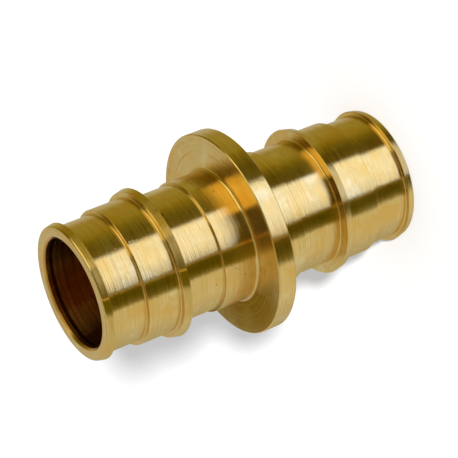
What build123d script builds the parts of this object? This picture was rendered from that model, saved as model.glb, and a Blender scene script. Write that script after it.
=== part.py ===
from build123d import *
import os

# Straight coupling for expansion-fitted plastic pipe, turned from one brass bar: a collar
# with two mirrored spigots and a bore straight through. Millimetres. The bar's axis is Z
# and the lower end face lies at Z = 0.
# Half of the section is drawn from the middle of the collar to the end face, its corners
# are rounded and chamfered, and the half is mirrored and revolved.

# Driving sizes

# Bore and wall
bore_diameter = 15.3
groove_wall = 1.25  # wall between the bore and the grooves

# How far each band stands above the grooves
lip_rise = 0.65
lip_front_rise = 0.42  # where the lip's ramp meets the end face
shoulder_rise = 0.60
rib_rise = 1.60
rib_front_rise = 1.35  # where the rib's ramp starts
hub_rise = 0.35
collar_rise = 5.40

# Length of each band along the axis, from the end face inwards
lip_length = 1.10
tail_groove_length = 5.05
shoulder_length = 4.85
rib_length = 1.10
hub_groove_length = 5.90
hub_length = 5.05
collar_thickness = 2.70

# Edge treatments
bore_chamfer = 0.33
nose_chamfer = 0.25  # outer corner of the end face
collar_chamfer = 0.20
collar_root_radius = 0.45

# Radii
bore_radius = bore_diameter / 2
groove_radius = bore_radius + groove_wall
lip_radius = groove_radius + lip_rise
lip_front_radius = groove_radius + lip_front_rise
shoulder_radius = groove_radius + shoulder_rise
rib_radius = groove_radius + rib_rise
rib_front_radius = groove_radius + rib_front_rise
hub_radius = groove_radius + hub_rise
collar_radius = groove_radius + collar_rise

# Stations, measured from the middle of the collar
collar_station = collar_thickness / 2
hub_station = collar_station + hub_length
rib_back_station = hub_station + hub_groove_length
rib_front_station = rib_back_station + rib_length
shoulder_station = rib_front_station + shoulder_length
lip_station = shoulder_station + tail_groove_length
end_station = lip_station + lip_length

# Radius (local X) and station (local Y) of every corner of the half section
half_section = [
    (bore_radius, 0),
    (collar_radius, 0),
    (collar_radius, collar_station),
    (hub_radius, collar_station),
    (hub_radius, hub_station),
    (groove_radius, hub_station),
    (groove_radius, rib_back_station),
    (rib_radius, rib_back_station),
    (rib_front_radius, rib_front_station),
    (shoulder_radius, rib_front_station),
    (shoulder_radius, shoulder_station),
    (groove_radius, shoulder_station),
    (groove_radius, lip_station),
    (lip_radius, lip_station),
    (lip_front_radius, end_station),
    (bore_radius, end_station),
]

section_plane = Plane(origin=(0, 0, end_station), x_dir=(1, 0, 0), z_dir=(0, -1, 0))


def corner_at(section, radius, station):
    """Return the corner of the section that lies at a radius and a station."""
    return section.vertices().sort_by_distance((radius, station))[0]


with BuildPart() as coupling_body:
    with BuildSketch(section_plane) as section:
        with BuildLine():
            Polyline(*half_section, close=True)
        make_face()
        fillet(corner_at(section, hub_radius, collar_station), radius=collar_root_radius)
        chamfer(corner_at(section, lip_front_radius, end_station), length=nose_chamfer)
        chamfer(corner_at(section, collar_radius, collar_station), length=collar_chamfer)
        chamfer(corner_at(section, bore_radius, end_station), length=bore_chamfer)
        mirror(about=Plane.XZ)
    revolve(axis=Axis.Z)

coupling_body.part.label = "coupling_body"

os.makedirs("parts", exist_ok=True)
export_step(coupling_body.part, "parts/coupling_body.step")
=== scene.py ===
"""Looks for the brass expansion coupling: one turned body, its floor, lights and camera."""

import math

import bpy
from mathutils import Matrix, Vector


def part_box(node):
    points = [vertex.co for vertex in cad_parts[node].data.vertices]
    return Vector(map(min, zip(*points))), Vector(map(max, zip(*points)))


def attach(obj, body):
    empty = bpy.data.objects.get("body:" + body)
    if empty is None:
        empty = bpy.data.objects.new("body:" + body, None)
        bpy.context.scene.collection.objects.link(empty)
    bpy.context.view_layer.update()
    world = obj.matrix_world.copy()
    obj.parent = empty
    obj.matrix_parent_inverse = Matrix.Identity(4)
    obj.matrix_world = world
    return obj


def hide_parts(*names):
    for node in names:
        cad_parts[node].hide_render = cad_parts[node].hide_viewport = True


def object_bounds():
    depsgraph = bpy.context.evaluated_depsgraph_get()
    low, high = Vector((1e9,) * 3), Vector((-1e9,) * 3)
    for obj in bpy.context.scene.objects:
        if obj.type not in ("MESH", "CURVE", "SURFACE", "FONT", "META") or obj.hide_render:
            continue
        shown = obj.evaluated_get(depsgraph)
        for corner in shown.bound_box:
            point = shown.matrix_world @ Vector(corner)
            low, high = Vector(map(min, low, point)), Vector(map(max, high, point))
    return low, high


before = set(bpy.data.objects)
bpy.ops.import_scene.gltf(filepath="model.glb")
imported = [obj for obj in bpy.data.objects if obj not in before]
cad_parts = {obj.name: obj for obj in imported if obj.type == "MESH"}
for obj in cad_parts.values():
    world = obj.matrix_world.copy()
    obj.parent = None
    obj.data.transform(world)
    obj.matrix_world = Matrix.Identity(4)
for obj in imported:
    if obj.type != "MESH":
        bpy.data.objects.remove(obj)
cad_low, cad_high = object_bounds()

MM = 0.001
NODE = "coupling_body"

# Radii in millimetres
BORE = 7.65
GROOVE = 8.90
LIP_FRONT = 9.32
LIP = 9.55
SHOULDER = 9.50
RIB_FRONT = 10.25
RIB = 10.50
HUB = 9.25

# Stations in millimetres from the middle of the collar
COLLAR_FACE = 1.35
HUB_END = 6.40
RIB_BACK = 12.30
RIB_NOSE = 13.40
SHOULDER_END = 18.25
LIP_BACK = 23.30

# Rounding radii and chamfers in millimetres
KEEN = 0.05
SOFT = 0.08
ROOT = 0.22
COLLAR_ROOT = 0.45
NOSE = 0.30
RIM_CHAMFER = 0.12
BORE_CHAMFER = 0.33

SEGMENTS = 384
ARC_STEP = math.radians(15)

# Nicks in the edges: angle in degrees from the camera's side towards +X, station, radius, reach, depth
NICKS = [
    (35.5, 12.36, 10.50, 0.52, 0.17),
    (2.5, 24.38, 9.06, 0.22, 0.06),
    (-27.0, 24.36, 9.20, 0.26, 0.05),
    (148.0, 12.32, 10.50, 0.30, 0.10),
]
NICK_LEAN = 0.5  # how far the outward way at a nick leans towards the nearer end

# Small dark pits: angle, station, radius of the surface, radius of the pit
PITS = [
    (36.6, 12.22, 10.46, 0.22),
    (36.2, 11.44, GROOVE, 0.30),
    (34.2, 11.52, GROOVE, 0.24),
    (37.5, 3.42, HUB, 0.13),
    (-59.3, 20.10, GROOVE, 0.10),
    (-66.2, 18.86, GROOVE, 0.10),
    (-40.8, 7.70, GROOVE, 0.11),
    (-40.8, 3.40, HUB, 0.11),
    (152.0, 15.90, SHOULDER, 0.12),
    (-131.0, -8.80, GROOVE, 0.12),
]

# Pale scuffs: angle, station, radius of the surface, radius of the scuff
SCUFFS = [
    (21.4, 17.75, SHOULDER, 0.22),
    (20.9, 17.30, SHOULDER, 0.26),
    (20.3, 16.80, SHOULDER, 0.24),
    (20.0, 16.35, SHOULDER, 0.20),
    (21.8, 19.68, GROOVE, 0.16),
    (-31.0, 4.70, HUB, 0.20),
    (-33.0, 4.40, HUB, 0.16),
    (64.0, 24.40, 8.60, 0.20),
    (1.5, 24.38, 9.02, 0.15),
]
SPOT_CORE = 0.4  # share of a pit's or a scuff's radius that is solid

# Colours of the brass and of its marks
BRASS_DARK = (0.76, 0.52, 0.15, 1)
BRASS_LIGHT = (0.90, 0.655, 0.235, 1)
RING = (0.69, 0.42, 0.09, 1)
CLOUD = (0.80, 0.58, 0.195, 1)
STAIN = (0.81, 0.52, 0.125, 1)
BLOOM = (0.86, 0.67, 0.29, 1)
PIT = (0.14, 0.07, 0.02, 1)
SCUFF = (0.86, 0.70, 0.36, 1)
# Bore colours, darker and redder than the brass outside: painted shade inside the bore.
BORE_LIGHT = (0.76, 0.44, 0.10, 1)
BORE_DARK = (0.50, 0.225, 0.04, 1)
BORE_SHADE_BAND = (0.13, 0.05, 0.01, 1)
BORE_MOUTH = (0.60, 0.29, 0.06, 1)

# A soft edge is a pair: the value where its mask is 0 and the value where it is 1.
# Where noise turns one colour of the brass into the next
LIGHT_EDGE = (0.30, 0.70)
RING_EDGE = (0.46, 0.64)
CLOUD_EDGE = (0.44, 0.62)
STAIN_EDGE = (0.50, 0.68)
BLOOM_EDGE = (0.46, 0.32)
DRILLED_EDGE = (0.40, 0.62)

# Rings are full on faces square to the axis, by the share of the normal along it, and weak elsewhere
FACE_EDGE = (0.70, 0.95)
RINGS_OFF_FACES = 0.3

# Painted shade: a dark band in the bore, in millimetres from the mouth
SHADE_BAND_START = (1.00, 0.70)
SHADE_BAND_END = (1.50, 1.25)

# Lathe lines per metre, along the axis and across it, and noise in space per metre
FINE_LINES = (7000, 45)
BROAD_LINES = (2100, 14)
LINES_ON_FACES = 1.37  # lines on a flat face follow its radius, this much closer together
CLOUD_SCALE = 650
STAIN_SCALE = 240
DENT_SCALE = 900
CLOUD_DETAIL = 4
LINE_DETAIL = 2

# Roughness of clean brass, and what clouds, lines, and pits or scuffs add
CLEAN_ROUGHNESS = 0.11
CLOUD_ROUGHNESS = 0.06
LINE_ROUGHNESS = 0.09
MARK_ROUGHNESS = 0.35

# Relief: heights of the broad lines and of the dents beside the fine lines, and its depth
BROAD_HEIGHT = 1.6
DENT_HEIGHT = 0.7
RELIEF_DEPTH = 0.012 * MM

# In the light tent an azimuth is in degrees from the camera's side towards +X, and a height is the
# sine of the elevation.
# Walls: azimuth and level, for three heights
TENT_BELOW = [
    (-180, 0.40), (-160, 0.45), (-120, 0.59), (-100, 0.70), (-57, 0.72), (-54, 0.18), (-48, 0.12),
    (-40, 0.07), (-30, 0.10), (48, 0.08), (60, 0.06), (70, 0.12), (80, 0.20), (90, 0.31), (110, 0.38),
    (130, 0.36), (140, 0.50), (160, 0.56), (180, 0.45),
]
TENT_LEVEL = [
    (-180, 0.58), (-110, 0.58), (-57, 0.52), (-48, 0.14), (-20, 0.17), (0, 0.36), (10, 0.44), (22, 0.36),
    (57, 0.30), (76, 0.24), (110, 0.25), (140, 0.40), (180, 0.58),
]
TENT_ABOVE = [
    (-180, 0.58), (-60, 0.60), (-55, 0.24), (-27, 0.06), (-20, 0.01), (22, 0.01), (98, 0.14), (125, 0.14),
    (145, 0.42), (180, 0.58),
]
LEVEL_EDGE = (-0.33, -0.14)
ABOVE_EDGE = (0.05, 0.28)
NEUTRAL_LEVEL = 0.60
WARM_GREEN = 0.82  # green for red in the darkest places
NEUTRAL_POWER = 3  # how late a rising level turns neutral

# Warm panel, high on the +X side
PANEL_SIDES = ((23, 30), (97, 88))
PANEL_FOOT = (0.14, 0.30)
PANEL_LIGHT = (1.40, 1.34, 0.95, 1)

# Pale crown overhead
CROWN_SIDES = ((-90, -60), (120, 90))
CROWN_FOOT = (0.74, 0.80)
CROWN_LIGHT = (0.50, 0.47, 0.34, 1)

# Soft box low on the camera's side: its top edge rises from one azimuth and height to another
BOX_SIDES = ((-28, -22), (44, 36))
BOX_TOP_FROM = (-28, -0.46)
BOX_TOP_TO = (2, -0.22)
BOX_TOP_EDGE = (0.06, -0.06)
BOX_FOOT_EDGE = (-0.80, -0.60)
BOX_FOOT_LEVEL = 0.38
BOX_LIGHT = (1.38, 1.53, 2.35, 1)

# Thin amber line beside the soft box
GLEAM_AZIMUTH = -26.5
GLEAM_EDGE = (1.4, 0.3)
GLEAM_FOOT = (-0.60, -0.10)
GLEAM_LIGHT = (0.95, 0.62, 0.20, 1)

WHITE = (1, 1, 1, 1)
ROOM_LIGHT = (0.70, 0.70, 0.70, 1)

# Floor
FLOOR_REACH = 3.0
FLOOR_COLOUR = (0.8, 0.8, 0.8, 1)

# Lamp for the shadow: degrees, metres and watts
LAMP_AZIMUTH = 5.0
LAMP_ELEVATION = 22.8
LAMP_DISTANCE = 6.0
LAMP_SIZE = 0.42
LAMP_POWER = 640.0

# Dark card that puts a painted reflection of shade into the collar's near face, from the middle of the
# part: its centre, and half its width and length
CARD_CENTRE = Vector((-10.5, 12.8, 7.5)) * MM
CARD_REACH = 9 * MM
CARD_STRETCH = 2.2
CARD_CORE = 0.4  # share of its reach that is solid
CARD_SHADE = (0.20, 0.15, 0.02, 1)

# Photograph: its width, the lens in pixels, and the camera's place
FRAME_PIXELS = 458
FOCAL_PIXELS = 1957.4
SENSOR = 36.0
CAMERA_ELEVATION = math.radians(25.35)
CAMERA_ROLL = math.radians(-111.7)
PART_FROM_CAMERA = Vector((-0.001, -0.024, -18.558))  # right, up and back, in radii of the collar


def on_surface(angle, station, radius):
    """Place in millimetres from the collar's middle, with the angle from the camera's side."""
    turn = math.radians(angle)
    return Vector((radius * math.sin(turn), -radius * math.cos(turn), station))


def half_outline(rim, end):
    """Corners of one half, from the collar's rim to the bore: radius, station and rounding."""
    return [
        (rim, COLLAR_FACE - RIM_CHAMFER, SOFT),
        (rim - RIM_CHAMFER, COLLAR_FACE, SOFT),
        (HUB, COLLAR_FACE, COLLAR_ROOT),
        (HUB, HUB_END, SOFT),
        (GROOVE, HUB_END, ROOT / 2),
        (GROOVE, RIB_BACK, ROOT),
        (RIB, RIB_BACK, KEEN),
        (RIB_FRONT, RIB_NOSE, SOFT),
        (SHOULDER, RIB_NOSE, ROOT),
        (SHOULDER, SHOULDER_END, SOFT),
        (GROOVE, SHOULDER_END, ROOT),
        (GROOVE, LIP_BACK, ROOT),
        (LIP, LIP_BACK, KEEN),
        (LIP_FRONT, end, NOSE),
        (BORE + BORE_CHAMFER, end, KEEN),
        (BORE, end - BORE_CHAMFER, KEEN),
    ]


def rounded(corners):
    """Turn a closed outline of corners into points with exact normals, an arc at each corner."""
    points = []
    count = len(corners)
    for i in range(count):
        before = Vector(corners[i - 1][:2])
        here = Vector(corners[i][:2])
        after = Vector(corners[(i + 1) % count][:2])
        radius = corners[i][2]
        towards = (here - before).normalized()
        away = (after - here).normalized()
        turn = math.atan2(towards.x * away.y - towards.y * away.x, towards.dot(away))
        reach = radius * math.tan(abs(turn) / 2)
        side = 1 if turn > 0 else -1
        inward = Vector((-towards.y, towards.x)) * side
        centre = here - towards * reach + inward * radius
        steps = max(2, math.ceil(abs(turn) / ARC_STEP))
        for k in range(steps + 1):
            angle = turn * k / steps
            spoke = Matrix.Rotation(angle, 2) @ (-inward)
            points.append((centre + spoke * radius, spoke * side))
    return points


def nicked(place, normal):
    """Press the nicks into a point of the surface; a pressed point gets its normal from the mesh."""
    pressed = place.copy()
    for angle, station, radius, reach, depth in NICKS:
        middle = on_surface(angle, station, radius)
        share = (place - middle).length / reach
        if share < 1:
            lean = NICK_LEAN if station > 0 else -NICK_LEAN
            outward = Vector((middle.x / radius, middle.y / radius, lean))
            pressed -= outward.normalized() * depth * (1 - share ** 2)
    if pressed == place:
        return place, normal
    return pressed, Vector((0, 0, 0))


def lathe(name, outline, height):
    """Turn the outline round Z into a smooth mesh with exact normals."""
    verts = []
    normals = []
    for point, normal in outline:
        for j in range(SEGMENTS):
            angle = 2 * math.pi * j / SEGMENTS
            across = Vector((math.cos(angle), math.sin(angle), 0))
            bare = across * point.x + Vector((0, 0, point.y))
            place, facing = nicked(bare, across * normal.x + Vector((0, 0, normal.y)))
            verts.append((place + Vector((0, 0, height / 2))) * MM)
            normals.append(facing)
    rings = len(outline)
    faces = []
    for i in range(rings):
        low = i * SEGMENTS
        high = ((i + 1) % rings) * SEGMENTS
        for j in range(SEGMENTS):
            k = (j + 1) % SEGMENTS
            faces.append((low + j, low + k, high + k, high + j))
    mesh = bpy.data.meshes.new(name)
    mesh.from_pydata(verts, [], faces)
    mesh.polygons.foreach_set("use_smooth", [True] * len(faces))
    mesh.normals_split_custom_set_from_vertices(normals)
    piece = bpy.data.objects.new(name, mesh)
    bpy.context.scene.collection.objects.link(piece)
    return piece


def coupling():
    """Build the turned body over its CAD node."""
    low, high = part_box(NODE)
    height = (high.z - low.z) / MM
    rim = (high.x - low.x) / 2 / MM
    near = half_outline(rim, height / 2)
    far = [(r, -s, rounding) for r, s, rounding in reversed(near)]
    piece = lathe("turned_coupling", rounded(near + far), height)
    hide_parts(NODE)
    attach(piece, "root")
    piece.data.materials.append(brass_material(height / 2))


def node(tree, kind, inputs=None, **properties):
    """Add a node, set its properties, and link or set the inputs that are named."""
    made = tree.nodes.new("ShaderNode" + kind)
    for name, value in properties.items():
        setattr(made, name, value)
    for name, value in (inputs or {}).items():
        if isinstance(value, bpy.types.NodeSocket):
            tree.links.new(value, made.inputs[name])
        else:
            made.inputs[name].default_value = value
    return made


def maths(tree, operation, *values):
    """Add a Math node on sockets or numbers, and return its output."""
    return node(tree, "Math", dict(enumerate(values)), operation=operation).outputs[0]


def rise(tree, value, start, end):
    """Smooth step of a socket from 0 at start to 1 at end."""
    inputs = {"Value": value, "From Min": start, "From Max": end}
    return node(tree, "MapRange", inputs, interpolation_type="SMOOTHSTEP").outputs["Result"]


def mix(tree, factor, first, second):
    """Mix two colours by a factor."""
    return node(tree, "Mix", {0: factor, 6: first, 7: second}, data_type="RGBA").outputs[2]


def noise(tree, place, scale, detail):
    """Grey noise in space, about 0.5."""
    made = node(tree, "TexNoise", {"Vector": place, "Scale": scale, "Detail": detail})
    return made.outputs["Fac"]


def vector_maths(tree, operation, first, second):
    """Add a Vector Math node on two vectors, and return its output."""
    return node(tree, "VectorMath", {0: first, 1: second}, operation=operation).outputs[0]


def length(tree, vector):
    """Length of a vector."""
    return node(tree, "VectorMath", {0: vector}, operation="LENGTH").outputs["Value"]


def height_of(tree, vector):
    """Z of a vector."""
    return node(tree, "SeparateXYZ", {0: vector}).outputs["Z"]


def lathe_lines(tree, place, radius, along_axis, across_axis):
    """Noise drawn out into lines round the axis, on cylinders and on faces alike."""
    parts = node(tree, "SeparateXYZ", {0: place}).outputs
    along = maths(tree, "MULTIPLY_ADD", radius, LINES_ON_FACES, parts["Z"])
    drawn = {
        "X": maths(tree, "MULTIPLY", parts["X"], across_axis),
        "Y": maths(tree, "MULTIPLY", parts["Y"], across_axis),
        "Z": maths(tree, "MULTIPLY", along, along_axis),
    }
    return noise(tree, node(tree, "CombineXYZ", drawn).outputs[0], 1.0, LINE_DETAIL)


def spot_mask(tree, place, middle, spots):
    """1 in the small spots and 0 elsewhere."""
    total = None
    for angle, station, radius, size in spots:
        centre = on_surface(angle, station + middle, radius) * MM
        away = node(tree, "VectorMath", {0: place, 1: centre}, operation="DISTANCE").outputs["Value"]
        spot = rise(tree, away, size * MM, size * MM * SPOT_CORE)
        total = spot if total is None else maths(tree, "MAXIMUM", total, spot)
    return total


def outer_colour(tree, place, fine, broad, clouds):
    """Colour outside the bore: lathe lines, stronger on the flat faces, then clouds and stains."""
    normal = node(tree, "TexCoord").outputs["Normal"]
    face = rise(tree, maths(tree, "ABSOLUTE", height_of(tree, normal)), *FACE_EDGE)
    ring_level = maths(tree, "MULTIPLY_ADD", face, 1 - RINGS_OFF_FACES, RINGS_OFF_FACES)
    rings = maths(tree, "MULTIPLY", rise(tree, broad, *RING_EDGE), ring_level)
    stains = noise(tree, place, STAIN_SCALE, CLOUD_DETAIL)
    clean = mix(tree, rise(tree, fine, *LIGHT_EDGE), BRASS_DARK, BRASS_LIGHT)
    ringed = mix(tree, rings, clean, RING)
    cloudy = mix(tree, rise(tree, clouds, *CLOUD_EDGE), ringed, CLOUD)
    stained = mix(tree, rise(tree, stains, *STAIN_EDGE), cloudy, STAIN)
    return mix(tree, rise(tree, stains, *BLOOM_EDGE), stained, BLOOM)


def bore_colour(tree, place, broad, middle):
    """Colour inside the bore, darker and redder than outside as painted shade: drilled lines, and a dark
    band of painted shade a little way in from each mouth.
    """
    station = maths(tree, "SUBTRACT", height_of(tree, place), middle * MM)
    depth = maths(tree, "SUBTRACT", middle * MM, maths(tree, "ABSOLUTE", station))
    drilled = mix(tree, rise(tree, broad, *DRILLED_EDGE), BORE_LIGHT, BORE_DARK)
    # A dark band of painted shade lies between the mouth's colour and the drilled bore.
    before_end = rise(tree, depth, SHADE_BAND_END[0] * MM, SHADE_BAND_END[1] * MM)
    before_start = rise(tree, depth, SHADE_BAND_START[0] * MM, SHADE_BAND_START[1] * MM)
    shade_banded = mix(tree, before_end, drilled, BORE_SHADE_BAND)
    return mix(tree, before_start, shade_banded, BORE_MOUTH)


def roughness(tree, fine, clouds, marks):
    """Roughness that the clouds, the fine lines and the marks raise."""
    cloudy = maths(tree, "MULTIPLY_ADD", clouds, CLOUD_ROUGHNESS, CLEAN_ROUGHNESS)
    lined = maths(tree, "MULTIPLY_ADD", fine, LINE_ROUGHNESS, cloudy)
    return maths(tree, "MULTIPLY_ADD", marks, MARK_ROUGHNESS, lined)


def relief(tree, place, fine, broad):
    """Normal over the lathe's lines and shallow dents."""
    lined = maths(tree, "MULTIPLY_ADD", broad, BROAD_HEIGHT, fine)
    dents = noise(tree, place, DENT_SCALE, LINE_DETAIL)
    height = maths(tree, "MULTIPLY_ADD", dents, DENT_HEIGHT, lined)
    bump = {"Strength": 1.0, "Distance": RELIEF_DEPTH, "Height": height}
    return node(tree, "Bump", bump).outputs["Normal"]


def brass_material(middle):
    """Turned brass, bright and lightly stained: reflections stretch across the lathe's lines."""
    material = bpy.data.materials.new("turned_brass")
    material.use_nodes = True
    tree = material.node_tree
    shader = tree.nodes["Principled BSDF"]
    shader.inputs["Metallic"].default_value = 1.0
    shader.inputs["Anisotropic"].default_value = 1.0
    shader.inputs["Anisotropic Rotation"].default_value = 0.25
    tangent = node(tree, "Tangent", direction_type="RADIAL", axis="Z").outputs["Tangent"]
    tree.links.new(tangent, shader.inputs["Tangent"])

    place = node(tree, "TexCoord").outputs["Object"]
    radius = length(tree, vector_maths(tree, "MULTIPLY", place, (1, 1, 0)))
    fine = lathe_lines(tree, place, radius, *FINE_LINES)
    broad = lathe_lines(tree, place, radius, *BROAD_LINES)
    clouds = noise(tree, place, CLOUD_SCALE, CLOUD_DETAIL)
    pits = spot_mask(tree, place, middle, PITS)
    scuffs = spot_mask(tree, place, middle, SCUFFS)

    outside = outer_colour(tree, place, fine, broad, clouds)
    # Inside the bore the colour is darker and redder: painted shade.
    bore = bore_colour(tree, place, broad, middle)
    in_bore = rise(tree, radius, (BORE + BORE_CHAMFER) * MM, (BORE + KEEN) * MM)
    pitted = mix(tree, pits, mix(tree, in_bore, outside, bore), PIT)
    tree.links.new(mix(tree, scuffs, pitted, SCUFF), shader.inputs["Base Color"])

    marks = maths(tree, "MAXIMUM", pits, scuffs)
    tree.links.new(roughness(tree, fine, clouds, marks), shader.inputs["Roughness"])
    tree.links.new(relief(tree, place, fine, broad), shader.inputs["Normal"])
    return material


def tent_colour(level):
    """Neutral where the tent is bright, amber where the part's own glow fills its dark side."""
    share = min(1.0, level / NEUTRAL_LEVEL) ** NEUTRAL_POWER
    green = WARM_GREEN + (1 - WARM_GREEN) * share
    return level, level * green, level * share, 1


def ramp(tree, turn, stops):
    """Colour ramp over the share of a full turn of azimuth."""
    made = node(tree, "ValToRGB", {0: turn})
    elements = made.color_ramp.elements
    elements.remove(elements[1])
    for i, (azimuth, level) in enumerate(stops):
        position = (azimuth + 180) / 360
        element = elements[0] if i == 0 else elements.new(position)
        element.position = position
        element.color = tent_colour(level)
    return made.outputs["Color"]


def walls(tree, azimuth, height):
    """Walls of the tent: three ramps round the part, blended over the height."""
    turn = maths(tree, "MULTIPLY_ADD", azimuth, 0.5 / math.pi, 0.5)
    below = ramp(tree, turn, TENT_BELOW)
    level = ramp(tree, turn, TENT_LEVEL)
    above = ramp(tree, turn, TENT_ABOVE)
    lower = mix(tree, rise(tree, height, *LEVEL_EDGE), below, level)
    return mix(tree, rise(tree, height, *ABOVE_EDGE), lower, above)


def light_mask(tree, azimuth, sides, height, edge):
    """Mask of a light: between the soft edges of its two sides, and past an edge in height."""
    mask = rise(tree, height, *edge)
    for start, end in sides:
        side = rise(tree, azimuth, math.radians(start), math.radians(end))
        mask = maths(tree, "MULTIPLY", mask, side)
    return mask


def box_mask(tree, azimuth, height):
    """Mask of the soft box, with a sloping top edge and a dimmer foot."""
    slope = {
        "Value": azimuth,
        "From Min": math.radians(BOX_TOP_FROM[0]),
        "From Max": math.radians(BOX_TOP_TO[0]),
        "To Min": BOX_TOP_FROM[1],
        "To Max": BOX_TOP_TO[1],
    }
    top = node(tree, "MapRange", slope).outputs["Result"]
    over_top = maths(tree, "SUBTRACT", height, top)
    box = light_mask(tree, azimuth, BOX_SIDES, over_top, BOX_TOP_EDGE)
    above_foot = rise(tree, height, *BOX_FOOT_EDGE)
    lit = maths(tree, "MULTIPLY_ADD", above_foot, 1 - BOX_FOOT_LEVEL, BOX_FOOT_LEVEL)
    return maths(tree, "MULTIPLY", box, lit)


def gleam_mask(tree, azimuth, height):
    """Mask of the thin line beside the soft box."""
    away = maths(tree, "ABSOLUTE", maths(tree, "SUBTRACT", azimuth, math.radians(GLEAM_AZIMUTH)))
    line = rise(tree, away, math.radians(GLEAM_EDGE[0]), math.radians(GLEAM_EDGE[1]))
    return maths(tree, "MULTIPLY", line, rise(tree, height, *GLEAM_FOOT))


def light_tent():
    """World: white to the camera, and to reflections a tent with a panel, crown, soft box and line."""
    world = bpy.data.worlds.new("light_tent")
    world.use_nodes = True
    bpy.context.scene.world = world
    tree = world.node_tree
    parts = node(tree, "SeparateXYZ", {0: node(tree, "TexCoord").outputs["Generated"]}).outputs
    height = parts["Z"]
    azimuth = maths(tree, "ARCTAN2", parts["X"], maths(tree, "MULTIPLY", parts["Y"], -1.0))

    tent = walls(tree, azimuth, height)
    tent = mix(tree, light_mask(tree, azimuth, PANEL_SIDES, height, PANEL_FOOT), tent, PANEL_LIGHT)
    tent = mix(tree, light_mask(tree, azimuth, CROWN_SIDES, height, CROWN_FOOT), tent, CROWN_LIGHT)
    tent = mix(tree, box_mask(tree, azimuth, height), tent, BOX_LIGHT)
    tent = mix(tree, gleam_mask(tree, azimuth, height), tent, GLEAM_LIGHT)

    rays = node(tree, "LightPath").outputs
    seen = mix(tree, rays["Is Camera Ray"], ROOM_LIGHT, WHITE)
    seen = mix(tree, rays["Is Glossy Ray"], seen, tent)
    tree.links.new(seen, tree.nodes["Background"].inputs["Color"])


def level_sheet(name, centre, half_x, half_y):
    """Make a level sheet with an empty material."""
    signs = [(-1, -1), (1, -1), (1, 1), (-1, 1)]
    corners = [centre + Vector((i * half_x, j * half_y, 0)) for i, j in signs]
    mesh = bpy.data.meshes.new(name)
    mesh.from_pydata(corners, [], [(0, 1, 2, 3)])
    sheet = bpy.data.objects.new(name, mesh)
    bpy.context.scene.collection.objects.link(sheet)
    material = bpy.data.materials.new(name)
    material.use_nodes = True
    mesh.materials.append(material)
    return sheet, material.node_tree


def pale_floor(low):
    """Floor at the part's foot: white with a soft shadow, clear to reflections."""
    floor, tree = level_sheet("floor", Vector((0, 0, low.z)), FLOOR_REACH, FLOOR_REACH)
    floor.visible_glossy = False
    shader = tree.nodes["Principled BSDF"]
    shader.inputs["Base Color"].default_value = FLOOR_COLOUR
    shader.inputs["Roughness"].default_value = 0.9
    shader.inputs["Specular IOR Level"].default_value = 0.0


def shadow_lamp(middle):
    """Lamp that throws the part's soft shadow on the floor; the brass doesn't mirror it."""
    azimuth = math.radians(LAMP_AZIMUTH)
    elevation = math.radians(LAMP_ELEVATION)
    towards = Vector((
        math.sin(azimuth) * math.cos(elevation),
        -math.cos(azimuth) * math.cos(elevation),
        math.sin(elevation),
    ))
    data = bpy.data.lights.new("shadow_lamp", "AREA")
    data.shape = "DISK"
    data.size = LAMP_SIZE
    data.energy = LAMP_POWER
    lamp = bpy.data.objects.new("shadow_lamp", data)
    bpy.context.scene.collection.objects.link(lamp)
    lamp.location = middle + towards * LAMP_DISTANCE
    lamp.rotation_euler = towards.to_track_quat("Z", "Y").to_euler()
    lamp.visible_glossy = False


def shade_card(middle):
    """Small level brown card beside the near spigot, seen only from below in the collar's face: a painted
    reflection of shade there.
    """
    centre = middle + CARD_CENTRE
    card, tree = level_sheet("shade_card", centre, CARD_REACH, CARD_REACH * CARD_STRETCH)
    card.visible_camera = False
    card.visible_diffuse = False
    card.visible_shadow = False
    tree.nodes.remove(tree.nodes["Principled BSDF"])
    offset = vector_maths(tree, "SUBTRACT", node(tree, "TexCoord").outputs["Object"], centre)
    away = length(tree, vector_maths(tree, "MULTIPLY", offset, (1, 1 / CARD_STRETCH, 1)))
    below = node(tree, "NewGeometry").outputs["Backfacing"]
    solid = maths(tree, "MULTIPLY", rise(tree, away, CARD_REACH, CARD_REACH * CARD_CORE), below)
    # The brown glow is a painted reflection of shade, seen only in reflections.
    reflected_shade = node(tree, "Emission", {"Color": CARD_SHADE}).outputs[0]
    clear = node(tree, "BsdfTransparent").outputs[0]
    faded = node(tree, "MixShader", {0: solid, 1: clear, 2: reflected_shade}).outputs[0]
    tree.links.new(faded, tree.nodes["Material Output"].inputs["Surface"])


def photo_camera(low, high):
    """Camera fitted to the photograph: its direction, roll, distance and lens."""
    across = Vector((1, 0, 0))
    back = Vector((0, -math.cos(CAMERA_ELEVATION), math.sin(CAMERA_ELEVATION)))
    upright = back.cross(across)
    right = across * math.cos(CAMERA_ROLL) + upright * math.sin(CAMERA_ROLL)
    up = upright * math.cos(CAMERA_ROLL) - across * math.sin(CAMERA_ROLL)
    rim = (high.x - low.x) / 2
    offset = PART_FROM_CAMERA * rim
    place = (low + high) / 2 - right * offset.x - up * offset.y - back * offset.z
    data = bpy.data.cameras.new("camera")
    data.sensor_width = SENSOR
    data.lens = FOCAL_PIXELS / FRAME_PIXELS * SENSOR
    data.clip_start = 0.01
    data.clip_end = 20
    camera = bpy.data.objects.new("camera", data)
    bpy.context.scene.collection.objects.link(camera)
    camera.matrix_world = Matrix.Translation(place) @ Matrix((right, up, back)).transposed().to_4x4()
    bpy.context.scene.camera = camera


coupling()
light_tent()
pale_floor(cad_low)
shadow_lamp((cad_low + cad_high) / 2)
shade_card((cad_low + cad_high) / 2)
photo_camera(cad_low, cad_high)
bpy.context.scene.view_settings.view_transform = "Standard"
